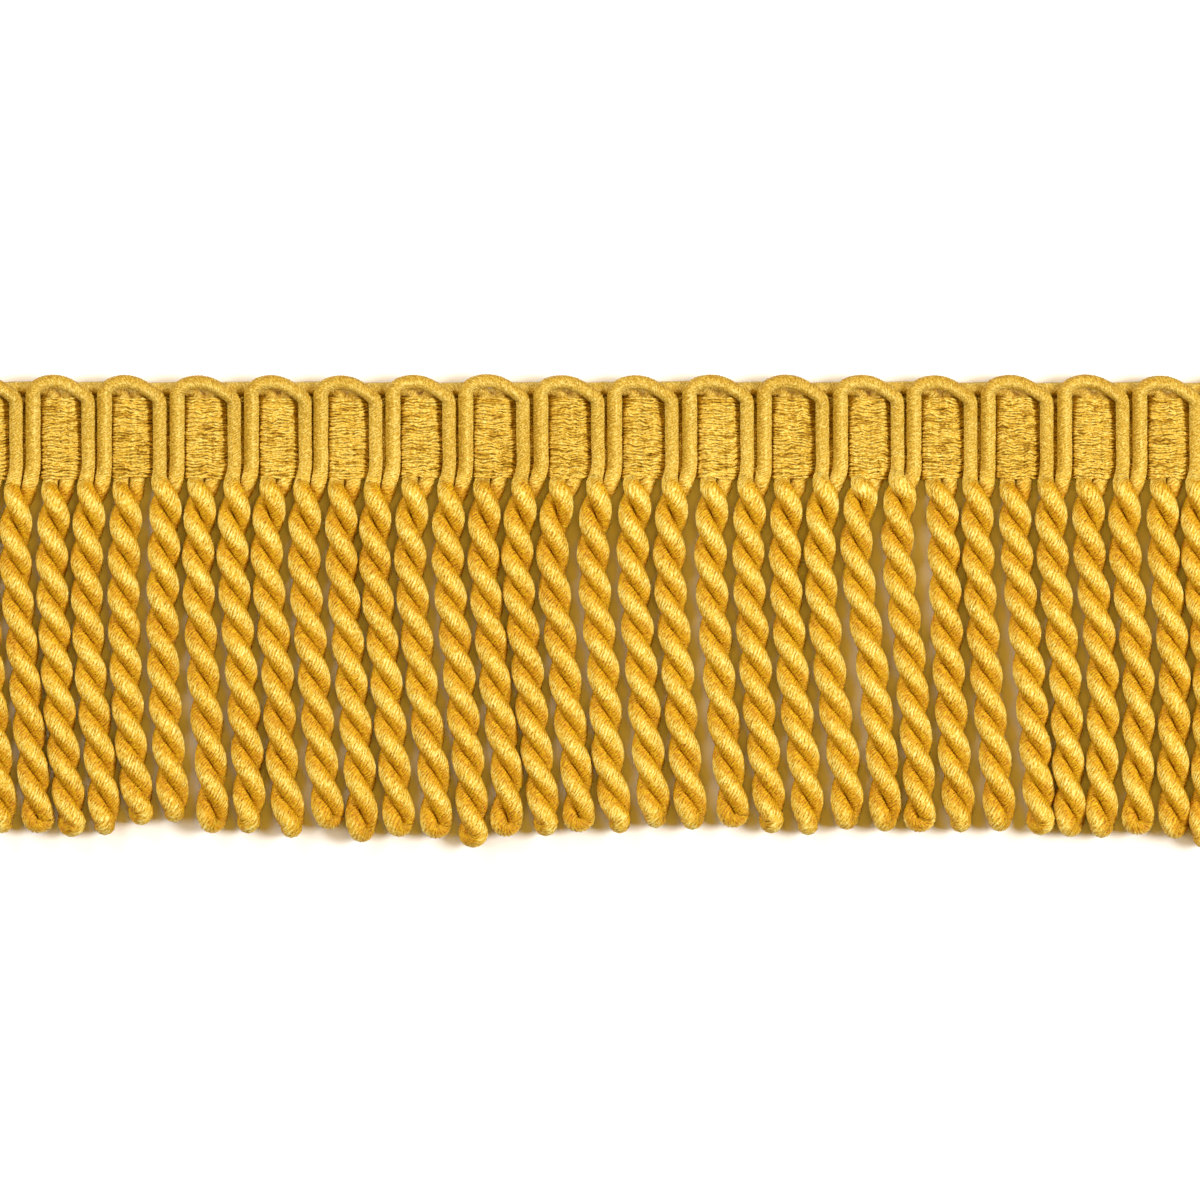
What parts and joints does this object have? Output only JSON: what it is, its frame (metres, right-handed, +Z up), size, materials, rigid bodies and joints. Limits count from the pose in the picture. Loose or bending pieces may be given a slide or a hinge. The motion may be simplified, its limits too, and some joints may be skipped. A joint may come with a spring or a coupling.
{
  "type": "cord fringe trim",
  "caption": "Flat length of cord fringe trim: a woven heading edged with small loops, and a close row of twisted cords hanging from it.",
  "frame": {"origin": "on the flat back of the heading, at half the heading's height and near the middle of the length", "axes": "+X along the trim, +Y from the fringe towards the heading, +Z up from the surface it lies on"},
  "size_m": [0.2202, 0.0782, 0.0051],
  "materials": {
    "heading": "golden yellow woven yarn with a soft sheen",
    "loop_edge": "golden yellow wrapped cord with a soft sheen",
    "fringe": "golden yellow twisted cord with a soft sheen"
  },
  "bodies": {
    "root": {"heading": "heading", "loop_edge": "loop_edge", "fringe": "fringe"}
  },
  "joints": []
}
